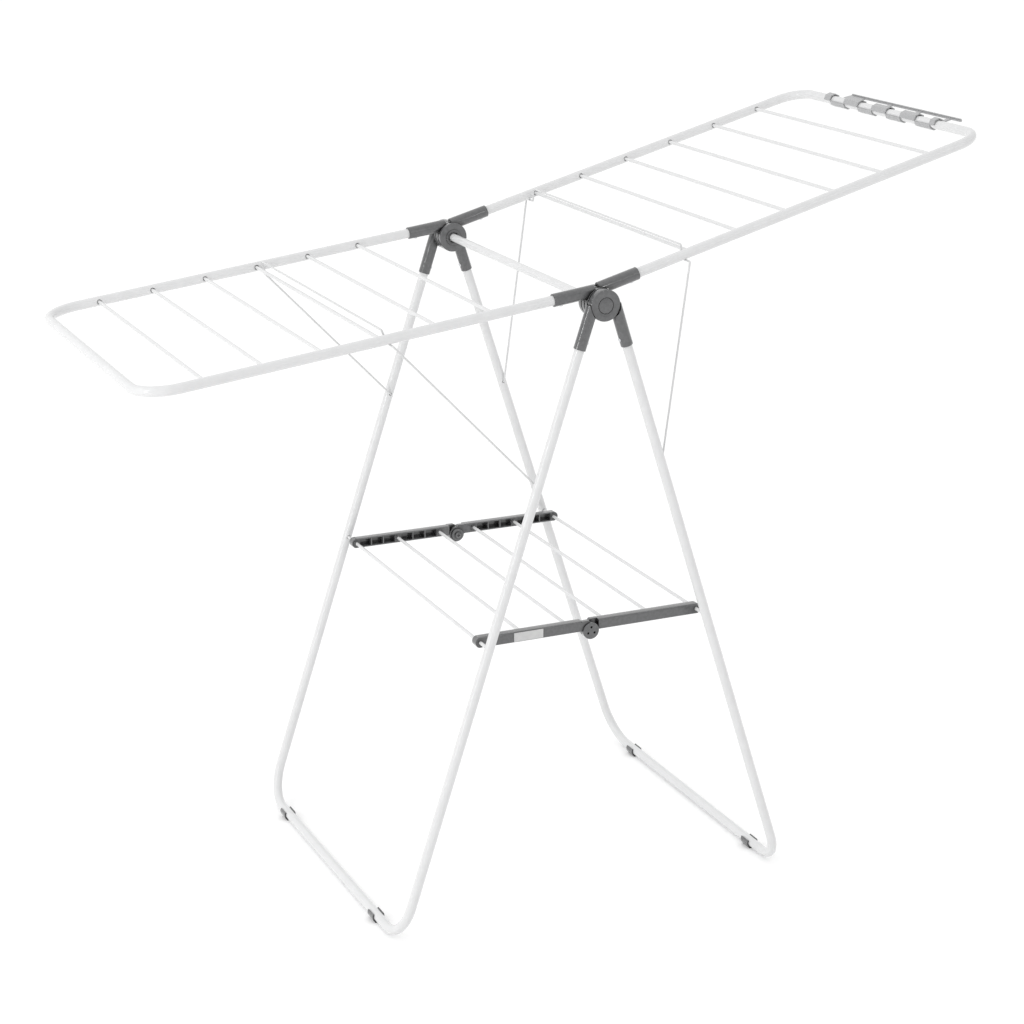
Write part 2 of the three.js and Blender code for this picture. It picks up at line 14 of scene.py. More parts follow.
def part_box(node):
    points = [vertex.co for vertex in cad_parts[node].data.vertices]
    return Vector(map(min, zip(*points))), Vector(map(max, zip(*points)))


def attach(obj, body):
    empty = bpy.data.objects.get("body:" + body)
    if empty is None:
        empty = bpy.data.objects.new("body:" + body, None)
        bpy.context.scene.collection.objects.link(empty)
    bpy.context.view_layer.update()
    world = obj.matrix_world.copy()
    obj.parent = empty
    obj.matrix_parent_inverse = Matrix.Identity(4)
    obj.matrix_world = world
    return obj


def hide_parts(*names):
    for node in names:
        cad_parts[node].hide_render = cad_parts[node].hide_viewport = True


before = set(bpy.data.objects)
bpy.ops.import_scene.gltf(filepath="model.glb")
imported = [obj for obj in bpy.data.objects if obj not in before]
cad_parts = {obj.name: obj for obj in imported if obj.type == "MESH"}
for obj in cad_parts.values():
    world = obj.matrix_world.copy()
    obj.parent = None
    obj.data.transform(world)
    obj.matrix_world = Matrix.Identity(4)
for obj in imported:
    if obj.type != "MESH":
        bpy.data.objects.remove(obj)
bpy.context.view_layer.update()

# ---- dimensions, in millimetres and degrees ----

LEG_SPREAD = 18.1
LEG_ANGLE = LEG_SPREAD - 90
LEFT_WING_ANGLE = -7.2
RIGHT_WING_ANGLE = 15.4

TUBE_R = 7.5
TUBE_SIDES = 40
BEND_STEPS = 18
BEND_R = 58
RIGHT_WING_BEND_R = 45
LEG_HALF_WIDTH = 297.6
LEG_SPLAY = 0.0036
SLEEVE_MIDDLE = 50.5
LEG_OFFSET = 17.4
LEFT_WING_HALF_WIDTH = 280
RIGHT_WING_HALF_WIDTH = 276
WING_OFFSET = 19
WING_LENGTH = 700
FLOOR_BAR_HEIGHT = 10
STAY_HOLE_R = 2.5
PIN_HOLE_R = 3.4

ROD_R = 2.75
ROD_HOLE_R = 4.1
ROD_SIDES = 24
ROD_COUNT = 6
FIRST_ROD = 166.2
ROD_PITCH = 88.25
ROD_INSET = 3

AXLE_R = 6.5
AXLE_END = 301.2
AXLE_BORE_R = 6.8
RIGHT_WING_BORE_R = 8.6
HUB_DISC_R = 24
HUB_CORE_R = 13
HUB_CORE_PROUD = 0.3
# Where each arm's disc starts and ends along the axle, from the rack's middle plane.
HUB_LAYERS = {
    "right_wing": (260.8, 271.2),
    "left_wing": (271.6, 281.6),
    "left_leg": (282.0, 291.6),
    "right_leg": (292.0, 301.6),
}
HUB_GROOVE = 0.9
PAST_SLEEVE = 40
CAP_Y = (301.9, 305.1)
CAP_ROUND = 1.6
# Radius and depth of the points across the groove.
CAP_GROOVE = [(13.0, 0), (12.6, 0.2), (12.4, 0.9), (11.6, 0.9), (11.4, 0.2), (11.0, 0)]
LEG_SLEEVE_R = 9.5
WING_SLEEVE_R = 9.9
SLEEVE_BORE_R = 7.7
SLEEVE_START = 6
SLEEVE_END = 73
# Wing and leg sleeves pass each other between these half widths.
SLEEVE_PARTING = (288.6, 289)
TUBE_START = 30
RIVET_AT = 61
# Radius of the dome, and height over its seat.
RIVET_DOME = [(0, 1.6), (1.4, 1.5), (2.5, 1.1), (3.2, 0.3), (3.2, -0.6), (0, -0.6)]

STAY_R = 1.5
STAY_BEND_R = 2.4
STAY_PIVOT = 286
STAY_ARM_Y = 289.1
STAY_END_Y = 296
# Places of the stay's bar and of its step under the rail, along and across the wing from the rod.
STAY_BAR = (-6, 11)
STAY_UNDER_RAIL = (-11, -9.5)
STAY_JOG_INSET = 13
STAY_BAR_INSET = 16
LEFT_STAY_ROD = 3
RIGHT_STAY_ROD = 1

SHELF_HEIGHT = 466.3
BAR_Y = (254, 268)
BAR_BELOW = 8
BAR_ABOVE = 8.5
SHELF_RODS = (109.6, 32.2)
KNUCKLE_DROP = 8
KNUCKLE_R = 13.5
KNUCKLE_FACE = 271
# The outer eye of the knuckle lies on the left half's bar, and the inner eye on the right half's.
INNER_EYE_Y = (BAR_Y[0], 260.8)
OUTER_EYE_Y = (261.2, BAR_Y[1])
FACE_HOLE_R = 1.9
FACE_HOLE_DEPTH = 2.5
FACE_HOLE_RING = 6.2
PIN_BORE_R = 2.9
PIN_BORE_Y = (249, 262)
INNER_BOSS_Y = (250, 255)
INNER_BOSS_R = 10.5
ARM_GAP = 0.2
ARM_CHAMFER = 2.5
BAR_WALL = 2
BAR_BOSS_R = 6
BAR_RIM_R = 5.6
ROD_CLEARANCE = 0.3
POCKETS_PER_BAY = 3
SHELF_ROD_END = 265
LEFT_PIN_END = 295
RIGHT_PIN_END = 291.3
PIN_OUTLINE = [
    (0, 245.6), (2.4, 245.7), (4.2, 246.4), (5.2, 247.6),
    (5.2, 249.7), (2.6, 249.7), (2.6, 262), (0, 262),
]
PIN_SLOT = (3.2, 0.45)
PIN_SLOT_Y = (244, 247)

LABEL_X = (81, 130)
LABEL_Y = (268.05, 268.5)
LABEL_Z = (459.5, 473.5)

# Where the feet are along each floor bar, the near one first.
FEET = {"left": (-196, 217.5), "right": (-205, 216)}
FOOT_LENGTH = 22
FOOT_WRAP = (-212, 32)
FOOT_GRIP_R = TUBE_R + 0.2
FOOT_WALL = 2.3
FOOT_PAD = [(-5.5, -10), (5.5, -10), (6.5, -7.2), (-6.5, -7.2)]

STRIP_START = -155.8
STRIP_BAND = 42.9
STRIP_BANDS = 7
STRIP_END_BANDS = (13.3, 17.8)
# The angles between which a band wraps the tube, in degrees, and the radius of its corners.
STRIP_OVER = (-62, 163, 11.4)
STRIP_UNDER = (165, 345, 10.4)
STRIP_FACET = 45
STRIP_GRIP_R = TUBE_R + 0.25
STRIP_PLATE = 2.2
STRIP_PLATE_X = (4, 47)
# The far corner of the plate is cut off from this place across it, and by so much along it.
STRIP_CORNER = (34, 5)
STRIP_WALL = 1.9
STRIP_PLATE_SHIFT = 5
STRIP_SLOT = (15, 43.5)
STRIP_RIB = 8
STRIP_LIP_X = (45.1, 46.9)
STRIP_LIP_HEIGHT = 2
STRIP_LIP_INSET = 0.4

SHARP_ANGLE = 34

AXLE_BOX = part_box("axle_tube")
HUB = (AXLE_BOX[0] + AXLE_BOX[1]) / 2
HUB_HEIGHT = HUB.z * 1000
MM = Matrix.Scale(0.001, 4)
TURN = Matrix.Rotation(math.pi, 4, "Z")


# ---- materials ----

def shader_of(mat):
    return mat.node_tree.nodes["Principled BSDF"]


def new_material(name, base, roughness, metallic=0.0):
    mat = bpy.data.materials.new(name)
    mat.use_nodes = True
    shader = shader_of(mat)
    shader.inputs["Base Color"].default_value = (*base, 1)
    shader.inputs["Roughness"].default_value = roughness
    shader.inputs["Metallic"].default_value = metallic
    return mat


def node(mat, kind, **values):
    """A new node, with its inputs or its own settings given by name."""
    made = mat.node_tree.nodes.new(kind)
    for key, value in values.items():
        if key in made.inputs:
            made.inputs[key].default_value = value
        else:
            setattr(made, key, value)
    return made


def link(mat, source, socket):
    mat.node_tree.links.new(source, socket)


def noise(mat, scale, detail):
    place = node(mat, "ShaderNodeTexCoord")
    made = node(mat, "ShaderNodeTexNoise", Scale=scale, Detail=detail)
    link(mat, place.outputs["Object"], made.inputs["Vector"])
    return made.outputs["Fac"]


def vary_colour(mat, low, high, scale):
    shader = shader_of(mat)
    ramp = node(mat, "ShaderNodeValToRGB")
    ramp.color_ramp.elements[0].position = 0.35
    ramp.color_ramp.elements[1].position = 0.65
    ramp.color_ramp.elements[0].color = (*low, 1)
    ramp.color_ramp.elements[1].color = (*high, 1)
    link(mat, noise(mat, scale, 2.0), ramp.inputs["Fac"])
    link(mat, ramp.outputs["Color"], shader.inputs["Base Color"])


def vary_roughness(mat, low, high, scale):
    shader = shader_of(mat)
    spread = node(mat, "ShaderNodeMapRange")
    spread.inputs["From Min"].default_value = 0.3
    spread.inputs["From Max"].default_value = 0.7
    spread.inputs["To Min"].default_value = low
    spread.inputs["To Max"].default_value = high
    link(mat, noise(mat, scale, 3.0), spread.inputs["Value"])
    link(mat, spread.outputs["Result"], shader.inputs["Roughness"])


def grain(mat, layers, edge=0.0):
    """Bumps the surface by layers of (scale, strength, distance), over edges rounded by edge metres."""
    shader = shader_of(mat)
    normal = None
    if edge:
        rounded = node(mat, "ShaderNodeBevel", samples=4, Radius=edge)
        normal = rounded.outputs["Normal"]
    for scale, strength, distance in layers:
        bump = node(mat, "ShaderNodeBump", Strength=strength, Distance=distance)
        link(mat, noise(mat, scale, 3.0), bump.inputs["Height"])
        if normal:
            link(mat, normal, bump.inputs["Normal"])
        normal = bump.outputs["Normal"]
    link(mat, normal, shader.inputs["Normal"])


def paint_gap_shade(mat, reach, power):
    """Paints shade into the colour where another surface is within the reach, in metres, by scaling the
    colour with ambient occlusion.
    """
    shader = shader_of(mat)
    colour = shader.inputs["Base Color"].links[0].from_socket
    shade = node(mat, "ShaderNodeAmbientOcclusion", samples=8, Distance=reach)
    deepen = node(mat, "ShaderNodeMath", operation="POWER")
    deepen.inputs[1].default_value = power
    scale = node(mat, "ShaderNodeVectorMath", operation="SCALE")
    link(mat, shade.outputs["AO"], deepen.inputs[0])
    link(mat, colour, scale.inputs[0])
    link(mat, deepen.outputs["Value"], scale.inputs["Scale"])
    link(mat, scale.outputs["Vector"], shader.inputs["Base Color"])


def clear_coat(mat, weight, roughness):
    shader = shader_of(mat)
    shader.inputs["Coat Weight"].default_value = weight
    shader.inputs["Coat Roughness"].default_value = roughness


def powder_coat(name, low, high):
    mat = new_material(name, high, 0.18)
    vary_colour(mat, low, high, 60)
    vary_roughness(mat, 0.13, 0.22, 900)
    grain(mat, [(1400, 0.06, 0.0002), (260, 0.05, 0.0003)])
    return mat


def moulded_plastic(name, low, high, roughness):
    mat = new_material(name, high, roughness[0])
    vary_colour(mat, low, high, 220)
    vary_roughness(mat, *roughness, 700)
    grain(mat, [(2600, 0.05, 0.0001)], edge=0.0006)
    return mat


WHITE = powder_coat("white_powder_coat", (0.66, 0.662, 0.665), (0.68, 0.682, 0.685))
WIRE = powder_coat("white_coated_wire", (0.6, 0.602, 0.605), (0.63, 0.632, 0.635))
DARK = moulded_plastic("dark_grey_plastic", (0.088, 0.089, 0.091), (0.106, 0.107, 0.11), (0.1, 0.18))
# Painted shade: the dark plastic's colour is darkened in its grooves and where its discs, sleeves and caps
# meet.
paint_gap_shade(DARK, 0.008, 2.6)
clear_coat(DARK, 0.6, 0.04)
GREY = moulded_plastic("mid_grey_plastic", (0.36, 0.363, 0.368), (0.4, 0.402, 0.407), (0.22, 0.32))
LABEL = new_material("label_film", (0.55, 0.55, 0.55), 0.4)
vary_colour(LABEL, (0.53, 0.53, 0.53), (0.58, 0.58, 0.575), 120)
grain(LABEL, [(900, 0.05, 0.0001)])
ZINC = new_material("zinc_plate", (0.62, 0.63, 0.65), 0.3, 1.0)
vary_roughness(ZINC, 0.24, 0.4, 1500)
grain(ZINC, [(3000, 0.15, 0.0001)])


# ---- meshes ----

def finish_mesh(bm, name):
    bmesh.ops.recalc_face_normals(bm, faces=bm.faces)
    mesh = bpy.data.meshes.new(name)
    bm.to_mesh(mesh)
    bm.free()
    return mesh


def rounded_path(corners, radius, steps):
    """Points along a line of corners, with its inner corners rounded."""
    points = [Vector(c) for c in corners]
    path = [points[0]]
    for before, here, after in zip(points, points[1:], points[2:]):
        back = (before - here).normalized()
        on = (after - here).normalized()
        half = back.angle(on) / 2
        reach = radius / math.tan(half)
        centre = here + (back + on).normalized() * (radius / math.sin(half))
        start = here + back * reach - centre
        axis = start.cross(here + on * reach - centre).normalized()
        turn = math.pi - 2 * half
        for step in range(steps + 1):
            path.append(Matrix.Rotation(turn * step / steps, 3, axis) @ start + centre)
    path.append(points[-1])
    return path


def sweep(path, radius, sides, end_round=0.0):
    """A round bar along a path, with slightly rounded ends if end_round is given."""
    path = [Vector(p) for p in path]
    rings = [(p, radius) for p in path]
    if end_round:
        for end, inner in ((0, 1), (-1, -2)):
            way = (path[end] - path[inner]).normalized()
            extra = [
                (path[end] - way * end_round * (1 - math.sin(a)), radius - end_round * (1 - math.cos(a)))
                for a in (math.pi / 8, math.pi / 4, math.pi * 3 / 8, math.pi / 2)
            ]
            base = (path[end] - way * end_round, radius)
            if end == 0:
                rings[0:1] = [*reversed(extra), base]
            else:
                rings[-1:] = [base, *extra]
    bm = bmesh.new()
    way = (rings[1][0] - rings[0][0]).normalized()
    across = way.orthogonal().normalized()
    loops = []
    for i, (point, r) in enumerate(rings):
        before = rings[max(i - 1, 0)][0]
        after = rings[min(i + 1, len(rings) - 1)][0]
        new_way = ((point - before).normalized() + (after - point).normalized()).normalized()
        across = way.rotation_difference(new_way) @ across
        way = new_way
        up = way.cross(across)
        loops.append([
            bm.verts.new(point + (across * math.cos(a) + up * math.sin(a)) * r)
            for a in (2 * math.pi * k / sides for k in range(sides))
        ])
    for a, b in zip(loops, loops[1:]):
        for k in range(sides):
            bm.faces.new((a[k], a[(k + 1) % sides], b[(k + 1) % sides], b[k]))
    bm.faces.new(list(reversed(loops[0])))
    bm.faces.new(loops[-1])
    return finish_mesh(bm, "sweep")


def cross_bar(x, z, reach, radius, sides, end_round=0.0):
    """A straight bar along Y, reaching equally far to both sides."""
    return sweep([(x, -reach, z), (x, 0, z), (x, reach, z)], radius, sides, end_round)


def rectangle(left, low, right, high):
    return [(left, low), (right, low), (right, high), (left, high)]


def soften(profile, radius):
    """The same closed outline with its corners rounded, by one radius or by one for each corner."""
    count = len(profile)
    steps = 4
    out = []
    for i in range(count):
        before, here, after = (Vector(profile[(i + k) % count]) for k in (-1, 0, 1))
        r = radius[i] if isinstance(radius, (list, tuple)) else radius
        back = before - here
        on = after - here
        half = back.angle(on) / 2
        if r <= 0 or abs(half - math.pi / 2) < 0.02:
            out.append(here)
            continue
        reach = min(r / math.tan(half), back.length * 0.48, on.length * 0.48)
        for k in range(steps + 1):
            t = k / steps
            a = here + back.normalized() * reach
            b = here + on.normalized() * reach
            out.append(a * (1 - t) ** 2 + here * 2 * t * (1 - t) + b * t ** 2)
    return [tuple(p) for p in out]


def lathe(profile, sides, axis="Y"):
    """A closed ring profile of (radius, along) turned about an axis. Radius 0 is the axis itself."""
    bm = bmesh.new()
    turned = {
        "X": lambda r, h, a: (h, r * math.cos(a), r * math.sin(a)),
        "Y": lambda r, h, a: (r * math.sin(a), h, r * math.cos(a)),
        "Z": lambda r, h, a: (r * math.cos(a), r * math.sin(a), h),
    }[axis]
    loops = []
    for r, h in profile:
        if r < 1e-6:
            loops.append([bm.verts.new(turned(0, h, 0))])
        else:
            loops.append([bm.verts.new(turned(r, h, 2 * math.pi * k / sides)) for k in range(sides)])
    closed = profile[0][0] > 1e-6 and profile[-1][0] > 1e-6
    pairs = list(zip(loops, loops[1:]))
    if closed:
        pairs.append((loops[-1], loops[0]))
    for a, b in pairs:
        for k in range(sides):
            quad = [a[k % len(a)], a[(k + 1) % len(a)], b[(k + 1) % len(b)], b[k % len(b)]]
            face = list(dict.fromkeys(quad))
            if len(face) > 2:
                bm.faces.new(face)
    return finish_mesh(bm, "lathe")


def drum(radius, low, high, rim=0.0, sides=64, axis="Y"):
    """A disc, with rounded rims if rim is given."""
    low, high = sorted((low, high))
    outline = rectangle(0, low, radius, high)
    if rim:
        outline = soften(outline, [0, rim, rim, 0])
    return lathe(outline, sides, axis)


def plate(outline, low, high, axis="Y"):
    """A flat outline drawn out along an axis. Outlines are (x, z) for Y, (y, z) for X and (x, y) for Z."""
    put = {
        "Y": lambda u, v, w: (u, w, v),
        "X": lambda u, v, w: (w, u, v),
        "Z": lambda u, v, w: (u, v, w),
    }[axis]
    low, high = sorted((low, high))
    bm = bmesh.new()
    ends = [[bm.verts.new(put(u, v, w)) for u, v in outline] for w in (low, high)]
    count = len(outline)
    for k in range(count):
        bm.faces.new((ends[0][k], ends[0][(k + 1) % count], ends[1][(k + 1) % count], ends[1][k]))
    bm.faces.new(ends[0])
    bm.faces.new(ends[1])
    return finish_mesh(bm, "plate")


def block(low, high):
    return plate(rectangle(low[0], low[2], high[0], high[2]), low[1], high[1])


def moved(mesh, *offset):
    mesh.transform(Matrix.Translation(offset))
    return mesh


def merged(meshes):
    bm = bmesh.new()
    for mesh in meshes:
        bm.from_mesh(mesh)
        bpy.data.meshes.remove(mesh)
    return finish_mesh(bm, "merged")


def boolean(mesh, tools, operation):
    """The mesh with each tool joined, cut or kept in common, by exact booleans."""
    for tool in tools:
        body = bpy.data.objects.new("body", mesh)
        other = bpy.data.objects.new("tool", tool)
        for o in (body, other):
            bpy.context.scene.collection.objects.link(o)
        modifier = body.modifiers.new("cut", "BOOLEAN")
        modifier.operation = operation
        modifier.solver = "EXACT"
        modifier.object = other
        graph = bpy.context.evaluated_depsgraph_get()
        result = bpy.data.meshes.new_from_object(body.evaluated_get(graph))
        for o in (body, other):
            used = o.data
            bpy.data.objects.remove(o)
            bpy.data.meshes.remove(used)
        mesh = result
    return mesh


def join(first, *rest):
    return boolean(first, rest, "UNION")


def cut(first, *tools):
    return boolean(first, tools, "DIFFERENCE")


def common(first, *tools):
    return boolean(first, tools, "INTERSECT")


def clean(mesh):
    """Merges points that meet, and shades the mesh smooth except at sharp edges."""
    bm = bmesh.new()
    bm.from_mesh(mesh)
    bmesh.ops.remove_doubles(bm, verts=bm.verts, dist=0.002)
    bmesh.ops.dissolve_degenerate(bm, dist=0.002, edges=bm.edges)
    bm.to_mesh(mesh)
    bm.free()
    for face in mesh.polygons:
        face.use_smooth = True
    mesh.set_sharp_from_angle(angle=math.radians(SHARP_ANGLE))


# ---- placing ----

def side_matrix(turned):
    """From millimetres, with the origin on the floor under the hub, to metres on the CAD."""
    base = Matrix.Translation((HUB.x, 0, 0))
    return base @ TURN @ MM if turned else base @ MM


def arm_matrix(turned, angle):
    return (
        side_matrix(turned)
        @ Matrix.Translation((0, 0, HUB_HEIGHT))
        @ Matrix.Rotation(-math.radians(angle), 4, "Y")
    )


def show(name, mesh, matrix, material, body, nodes):
    """Shows a mesh as one piece that rides on a body in the place of CAD nodes."""
    clean(mesh)
    mesh.transform(matrix)
    mesh.name = name
    mesh.materials.clear()
    mesh.materials.append(material)
    piece = bpy.data.objects.new(name, mesh)
    bpy.context.scene.collection.objects.link(piece)
    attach(piece, body)
    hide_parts(*nodes)


def arm_point(angle, along, across):
    """Where a place on an arm is, as its x from the hub and its height."""
    a = math.radians(angle)
    return (
        math.cos(a) * along - math.sin(a) * across,
        HUB_HEIGHT + math.sin(a) * along + math.cos(a) * across,
    )


def ends(turned):
    """The hub's two ends with the sign of their Y, which changes on an arm that is turned round."""
    return (("near", 1), ("far", -1)) if turned else (("near", -1), ("far", 1))


def leg_along(height):
    """How far along a leg its middle line is at a height above the floor."""
    spread = math.radians(LEG_SPREAD)
    return (HUB_HEIGHT + math.sin(spread) * LEG_OFFSET - height) / math.cos(spread)


# ---- tubes and rods ----

def leg_side(along):
    """The half width of a leg frame at a place along it."""
    return LEG_HALF_WIDTH + LEG_SPLAY * (along - SLEEVE_MIDDLE)


def frame_tube(length, side_at, offset, bend_r):
    start, end = side_at(TUBE_START), side_at(length)
    corners = [
        (TUBE_START, -start, offset),
        (length, -end, offset),
        (length, end, offset),
        (TUBE_START, start, offset),
    ]
    return sweep(rounded_path(corners, bend_r, BEND_STEPS), TUBE_R, TUBE_SIDES)


def hole_tools(places, half_width, offset, radius, sides=24):
    """Blind holes in the inner walls of both rails."""
    tools = []
    for s in places:
        for sign in (-1, 1):
            inner = sign * (half_width - TUBE_R - 3)
            outer = sign * (half_width - 1)
            tools.append(moved(drum(radius, inner, outer, sides=sides), s, 0, offset))
    return merged(tools)


def rod_places():
    return [FIRST_ROD + i * ROD_PITCH for i in range(ROD_COUNT)]


def build_wing(name, turned, angle, half_width, bend_r):
    place = arm_matrix(turned, angle)
    tube = frame_tube(WING_LENGTH, lambda along: half_width, WING_OFFSET, bend_r)
    tube = cut(tube, hole_tools(rod_places(), half_width, WING_OFFSET, ROD_HOLE_R))
    show(f"{name}_tube", tube, place, WHITE, name, [f"{name}_frame"])
    for i, s in enumerate(rod_places()):
        rod = cross_bar(s, WING_OFFSET, half_width - ROD_INSET, ROD_R, ROD_SIDES)
        show(f"{name}_bar_{i + 1}", rod, place, WHITE, name, [f"{name}_rod_{i + 1}"])
    return place


def build_leg(name, turned):
    place = arm_matrix(turned, LEG_ANGLE)
    tube = frame_tube(leg_along(FLOOR_BAR_HEIGHT), leg_side, LEG_OFFSET, BEND_R)
    stay_holes = hole_tools([STAY_PIVOT], leg_side(STAY_PIVOT), LEG_OFFSET, STAY_HOLE_R, 16)
    pin_at = leg_along(SHELF_HEIGHT)
    pin_holes = hole_tools([pin_at], leg_side(pin_at), LEG_OFFSET, PIN_HOLE_R)
    tube = cut(tube, stay_holes, pin_holes)
    show(f"{name}_tube", tube, place, WHITE, name, [f"{name}_frame"])
    return place


# ---- hub ----

def hub_piece(sign, layer, half_width, offset, bore, sleeve_r, outermost):
    """A disc on the axle with a sleeve. It stands on a thinner core, so that grooves part the discs."""
    inner, outer = layer
    face = outer if outermost else outer - HUB_GROOVE
    disc = drum(HUB_DISC_R, sign * (inner + HUB_GROOVE), sign * face, rim=0.8, sides=96)
    core = drum(HUB_CORE_R, sign * inner, sign * (outer + HUB_CORE_PROUD))
    y = sign * half_width
    outline = soften(rectangle(0, SLEEVE_START, sleeve_r, SLEEVE_END), [0, 1.0, 0.7, 0])
    sleeve = moved(lathe(outline, 48, "X"), 0, y, offset)
    reach = half_width + 2 * sleeve_r
    wing_face, leg_face = SLEEVE_PARTING
    from_y, to_y = (wing_face, reach) if half_width < wing_face else (inner - PAST_SLEEVE, leg_face)
    beyond = block(
        (0, sign * from_y, offset - 2 * sleeve_r),
        (SLEEVE_END + 2, sign * to_y, offset + 2 * sleeve_r),
    )
    sleeve = cut(sleeve, beyond)
    for low, high in ((inner - PAST_SLEEVE, inner + HUB_GROOVE), (face, reach)):
        sleeve = cut(sleeve, drum(HUB_DISC_R + 0.6, sign * low, sign * high, sides=96))
    body = join(disc, core, sleeve)
    socket = moved(drum(SLEEVE_BORE_R, TUBE_START - 2, SLEEVE_END + 2, sides=48, axis="X"), 0, y, offset)
    return cut(body, socket, drum(bore, sign * (inner - 1), sign * (outer + 1), sides=48))


def rivet_mesh(sign, half_width, offset, sleeve_r):
    """A low domed head under the sleeve."""
    seat = sleeve_r - 0.3
    profile = [(r, -(seat + h)) for r, h in RIVET_DOME]
    return moved(lathe(profile, 32, "Z"), RIVET_AT, sign * half_width, offset)


def build_hub_ends(place, turned, name, half_width, offset, sleeve_r):
    for end, sign in ends(turned):
        bore = RIGHT_WING_BORE_R if name == "right_wing" else AXLE_BORE_R
        piece = hub_piece(sign, HUB_LAYERS[name], half_width, offset, bore, sleeve_r, name == "right_leg")
        show(f"{end}_{name}_socket", piece, place, DARK, name, [f"{end}_{name}_hub"])
        rivet = rivet_mesh(sign, half_width, offset, sleeve_r)
        show(f"{end}_{name}_rivet_head", rivet, place, ZINC, name, [f"{end}_{name}_rivet"])


def cap_mesh(sign):
    """A round cap with a rounded rim and a ring groove in its face."""
    inner, outer = CAP_Y
    profile = [(0, inner), (HUB_DISC_R, inner)]
    for k in range(7):
        a = math.pi / 2 * k / 6
        across = HUB_DISC_R - CAP_ROUND + CAP_ROUND * math.cos(a)
        profile.append((across, outer - CAP_ROUND + CAP_ROUND * math.sin(a)))
    profile += [(r, outer - depth) for r, depth in CAP_GROOVE]
    profile.append((0, outer))
    return lathe([(r, sign * h) for r, h in profile], 96)


# ---- stays ----

def stay_mesh(wing_angle, half_width, rod_number):
    """A wire from the holes in a leg, under the wing's rails and up over one of its rods."""
    rod_at = FIRST_ROD + (rod_number - 1) * ROD_PITCH
    pivot = arm_point(LEG_ANGLE, STAY_PIVOT, LEG_OFFSET)
    under = arm_point(wing_angle, rod_at + STAY_UNDER_RAIL[0], WING_OFFSET + STAY_UNDER_RAIL[1])
    top = arm_point(wing_angle, rod_at + STAY_BAR[0], WING_OFFSET + STAY_BAR[1])
    jog_y = half_width - STAY_JOG_INSET
    bar_y = half_width - STAY_BAR_INSET
    half = [(pivot, STAY_END_Y), (pivot, STAY_ARM_Y), (under, STAY_ARM_Y), (under, jog_y), (top, bar_y)]
    corners = [(x, y, z) for (x, z), y in half] + [(x, -y, z) for (x, z), y in reversed(half)]
    return sweep(rounded_path(corners, STAY_BEND_R, 6), STAY_R, 16)


# ---- shelf ----

PIN_X = arm_point(LEG_ANGLE, leg_along(SHELF_HEIGHT), LEG_OFFSET)[0]


def shelf_bar(sign, eye_outer):
    """Half a shelf side bar on the right: a channel open to the inside, with one eye of the knuckle."""
    inner, outer = BAR_Y
    low, high = SHELF_HEIGHT - BAR_BELOW, SHELF_HEIGHT + BAR_ABOVE
    middle, end_r = (low + high) / 2, (high - low) / 2
    start = KNUCKLE_R + 0.5
    pivot = SHELF_HEIGHT - KNUCKLE_DROP

    side_view = [(start, low)]
    for k in range(25):
        a = -math.pi / 2 + math.pi * k / 24
        side_view.append((PIN_X + end_r * math.cos(a), middle + end_r * math.sin(a)))
    side_view.append((start, high))
    section = soften(rectangle(sign * inner, low, sign * outer, high), [0.5, 1.2, 3.0, 0.8])
    body = common(plate(side_view, sign * inner, sign * outer), plate(section, start - 1, PIN_X + 20, "X"))

    bosses = [*reversed(SHELF_RODS), PIN_X]
    pockets = []
    for a, b in zip(bosses, bosses[1:]):
        first, last = a + BAR_BOSS_R, b - BAR_BOSS_R
        width = (last - first - (POCKETS_PER_BAY - 1) * BAR_WALL) / POCKETS_PER_BAY
        for k in range(POCKETS_PER_BAY):
            left = first + k * (width + BAR_WALL)
            pocket = soften(rectangle(left, low + BAR_WALL, left + width, high - BAR_WALL), 0.8)
            pockets.append(plate(pocket, sign * (inner - 1), sign * (outer - BAR_WALL)))
    body = cut(body, merged(pockets))

    rims = []
    for x in bosses:
        ring = drum(BAR_RIM_R, sign * (inner - 1.2), sign * (inner + 1), rim=0.4, sides=40)
        rims.append(moved(ring, x, 0, SHELF_HEIGHT))
    body = join(body, *rims)

    eye_y = OUTER_EYE_Y if eye_outer else INNER_EYE_Y
    arm_outline = [
        (ARM_GAP, pivot), (ARM_GAP, high - ARM_CHAMFER), (ARM_GAP + ARM_CHAMFER, high),
        (start + 1, high), (start + 1, low), (ARM_GAP, low),
    ]
    body = join(body, plate(arm_outline, sign * eye_y[0], sign * eye_y[1]))
    if eye_outer:
        eyes = [drum(KNUCKLE_R, sign * eye_y[0], sign * KNUCKLE_FACE, rim=1.2)]
    else:
        eyes = [
            drum(KNUCKLE_R, sign * eye_y[0], sign * eye_y[1], rim=0.8),
            drum(INNER_BOSS_R, sign * INNER_BOSS_Y[0], sign * INNER_BOSS_Y[1], rim=0.8),
        ]
    body = join(body, *[moved(eye, 0, 0, pivot) for eye in eyes])

    holes = []
    for x, end_y in [*[(x, SHELF_ROD_END + 0.5) for x in SHELF_RODS], (PIN_X, outer + 1)]:
        hole = drum(ROD_R + ROD_CLEARANCE, sign * (inner - 3), sign * end_y, sides=24)
        holes.append(moved(hole, x, 0, SHELF_HEIGHT))
    if eye_outer:
        for k in range(3):
            a = math.radians(90 + 120 * k)
            floor_y, open_y = KNUCKLE_FACE - FACE_HOLE_DEPTH, KNUCKLE_FACE + 1
            hole = drum(FACE_HOLE_R, sign * floor_y, sign * open_y, sides=20)
            across, up = FACE_HOLE_RING * math.cos(a), FACE_HOLE_RING * math.sin(a)
            holes.append(moved(hole, across, 0, pivot + up))
    else:
        bore = drum(PIN_BORE_R, sign * PIN_BORE_Y[0], sign * PIN_BORE_Y[1], sides=24)
        holes.append(moved(bore, 0, 0, pivot))
    return cut(body, merged(holes))


